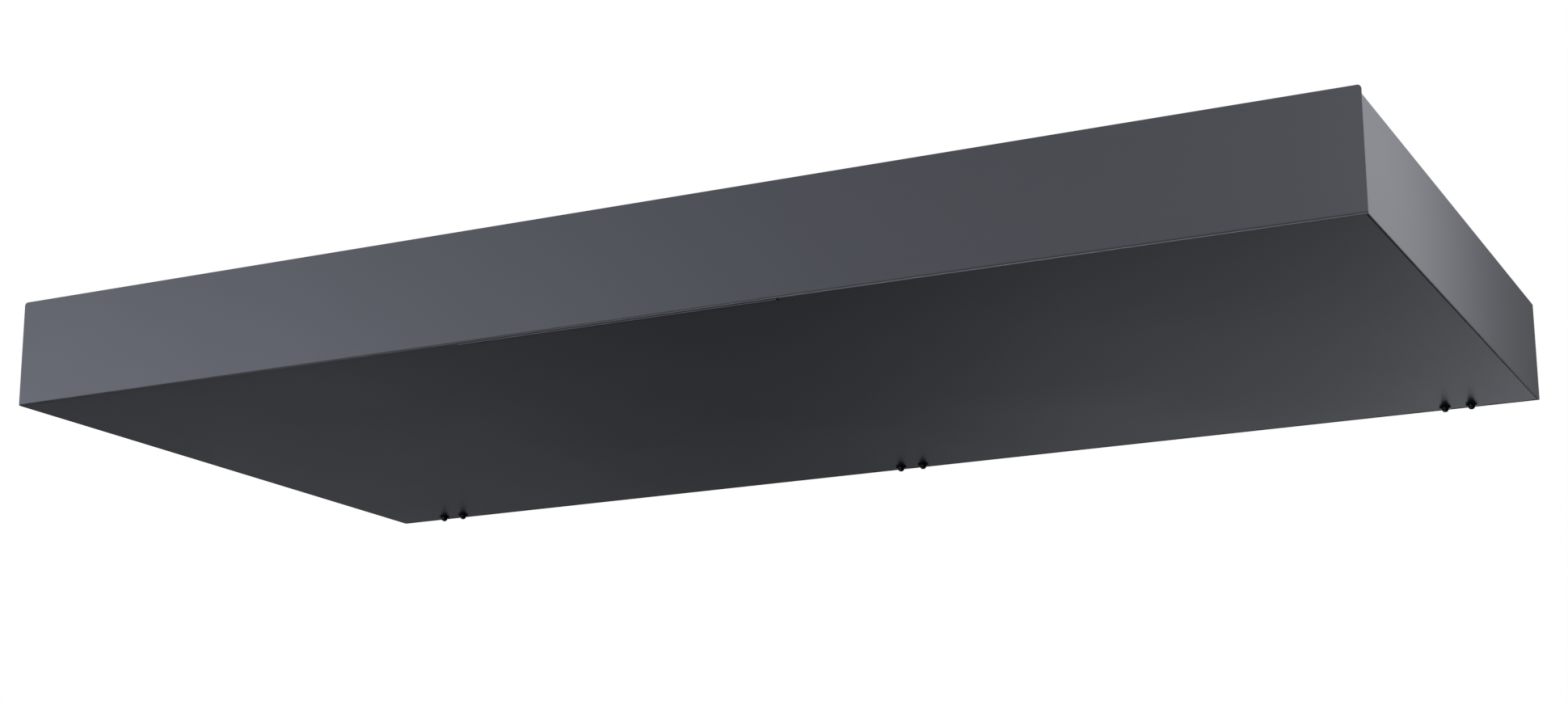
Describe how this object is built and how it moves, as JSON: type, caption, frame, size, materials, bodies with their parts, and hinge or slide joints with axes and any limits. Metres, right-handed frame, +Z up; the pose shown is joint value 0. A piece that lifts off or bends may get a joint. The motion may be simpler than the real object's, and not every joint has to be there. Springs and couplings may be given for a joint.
{
  "type": "island range hood",
  "caption": "Flat graphite island extractor hood for direct ceiling mounting, with a full-width hinged closing panel over filters, blower, light and switches.",
  "frame": {"origin": "middle of the ceiling plane, which the front panel's top return and the hanging rails touch", "axes": "+X along the length, +Z up through the duct collar, front with the pull lip towards -Y"},
  "size_m": [1.2, 0.602, 0.1377],
  "materials": {
    "graphite_coat": "satin graphite-grey powder coat on sheet steel",
    "galvanised_steel": "galvanised sheet steel with a fine spangle",
    "zinc_plated_steel": "bright zinc-plated steel",
    "aluminium": "satin aluminium",
    "aluminium_mesh": "layers of expanded aluminium mesh",
    "black_steel": "black-oxide steel",
    "black_plastic": "fine-grained moulded plastic",
    "grey_plastic": "smooth moulded plastic",
    "ferrite": "sintered ferrite",
    "opal_diffuser": "opal acrylic",
    "circuit_board": "green solder mask"
  },
  "bodies": {
    "casing": {"front_panel": "graphite_coat", "back_panel": "graphite_coat", "side_panel_left": "graphite_coat", "side_panel_right": "graphite_coat", "top_plate": "galvanised_steel", "filter_frame": "galvanised_steel", "blower_housing": "galvanised_steel", "outlet_box": "galvanised_steel", "duct_collar": "galvanised_steel", "control_box": "galvanised_steel", "control_box_cover": "galvanised_steel", "hanging_rail_left": "zinc_plated_steel", "hanging_rail_right": "zinc_plated_steel", "blower_motor": "zinc_plated_steel", "damper_pin": "zinc_plated_steel", "hinge_bracket_left": "zinc_plated_steel", "hinge_bracket_middle": "zinc_plated_steel", "hinge_bracket_right": "zinc_plated_steel", "hinge_pin_left": "zinc_plated_steel", "hinge_pin_middle": "zinc_plated_steel", "hinge_pin_right": "zinc_plated_steel", "light_housing": "aluminium", "filter_cassette_left": "aluminium", "filter_cassette_middle": "aluminium", "filter_cassette_right": "aluminium", "filter_mesh_left": "aluminium_mesh", "filter_mesh_middle": "aluminium_mesh", "filter_mesh_right": "aluminium_mesh", "inlet_ring": "black_plastic", "button_fascia": "black_plastic", "cable_gland": "black_plastic", "catch_magnet_left": "ferrite", "catch_magnet_right": "ferrite", "light_lens": "opal_diffuser", "led_board": "circuit_board", "control_board": "circuit_board"},
    "door": {"closing_panel": "graphite_coat", "pull_lip": "graphite_coat", "panel_rib_left": "galvanised_steel", "panel_rib_right": "galvanised_steel", "hinge_leaf_left": "zinc_plated_steel", "hinge_leaf_middle": "zinc_plated_steel", "hinge_leaf_right": "zinc_plated_steel", "panel_screw_1": "black_steel", "panel_screw_2": "black_steel", "panel_screw_3": "black_steel", "panel_screw_4": "black_steel", "panel_screw_5": "black_steel", "panel_screw_6": "black_steel"},
    "impeller": {"impeller": "aluminium"},
    "flap_left": {"damper_flap_left": "grey_plastic"},
    "flap_right": {"damper_flap_right": "grey_plastic"},
    "latch_left": {"filter_latch_left": "black_plastic"},
    "latch_middle": {"filter_latch_middle": "black_plastic"},
    "latch_right": {"filter_latch_right": "black_plastic"},
    "button_1": {"push_button_1": "grey_plastic"},
    "button_2": {"push_button_2": "grey_plastic"},
    "button_3": {"push_button_3": "grey_plastic"},
    "button_4": {"push_button_4": "grey_plastic"}
  },
  "joints": [
    {"name": "door_hinge", "type": "hinge", "parent": "casing", "child": "door", "pos_m": [0, 0.286, -0.0882], "axis": [1, 0, 0], "range_deg": [0, 80]},
    {"name": "impeller_spin", "type": "hinge", "parent": "casing", "child": "impeller", "pos_m": [-0.2503, -0.102, 0], "axis": [0, 0, 1], "continuous": true},
    {"name": "flap_left_swing", "type": "hinge", "parent": "casing", "child": "flap_left", "pos_m": [0, 0, 0.0137], "axis": [0, 1, 0], "range_deg": [0, 75]},
    {"name": "flap_right_swing", "type": "hinge", "parent": "casing", "child": "flap_right", "pos_m": [0, 0, 0.0137], "axis": [0, -1, 0], "range_deg": [0, 75]},
    {"name": "latch_left_slide", "type": "slide", "parent": "casing", "child": "latch_left", "axis": [0, 1, 0], "range_m": [0, 0.005], "stiffness_N_per_m": 400},
    {"name": "latch_middle_slide", "type": "slide", "parent": "casing", "child": "latch_middle", "axis": [0, 1, 0], "range_m": [0, 0.005], "stiffness_N_per_m": 400},
    {"name": "latch_right_slide", "type": "slide", "parent": "casing", "child": "latch_right", "axis": [0, 1, 0], "range_m": [0, 0.005], "stiffness_N_per_m": 400},
    {"name": "button_1_press", "type": "slide", "parent": "casing", "child": "button_1", "axis": [0, 0, 1], "range_m": [0, 0.002], "stiffness_N_per_m": 600},
    {"name": "button_2_press", "type": "slide", "parent": "casing", "child": "button_2", "axis": [0, 0, 1], "range_m": [0, 0.002], "stiffness_N_per_m": 600},
    {"name": "button_3_press", "type": "slide", "parent": "casing", "child": "button_3", "axis": [0, 0, 1], "range_m": [0, 0.002], "stiffness_N_per_m": 600},
    {"name": "button_4_press", "type": "slide", "parent": "casing", "child": "button_4", "axis": [0, 0, 1], "range_m": [0, 0.002], "stiffness_N_per_m": 600}
  ]
}
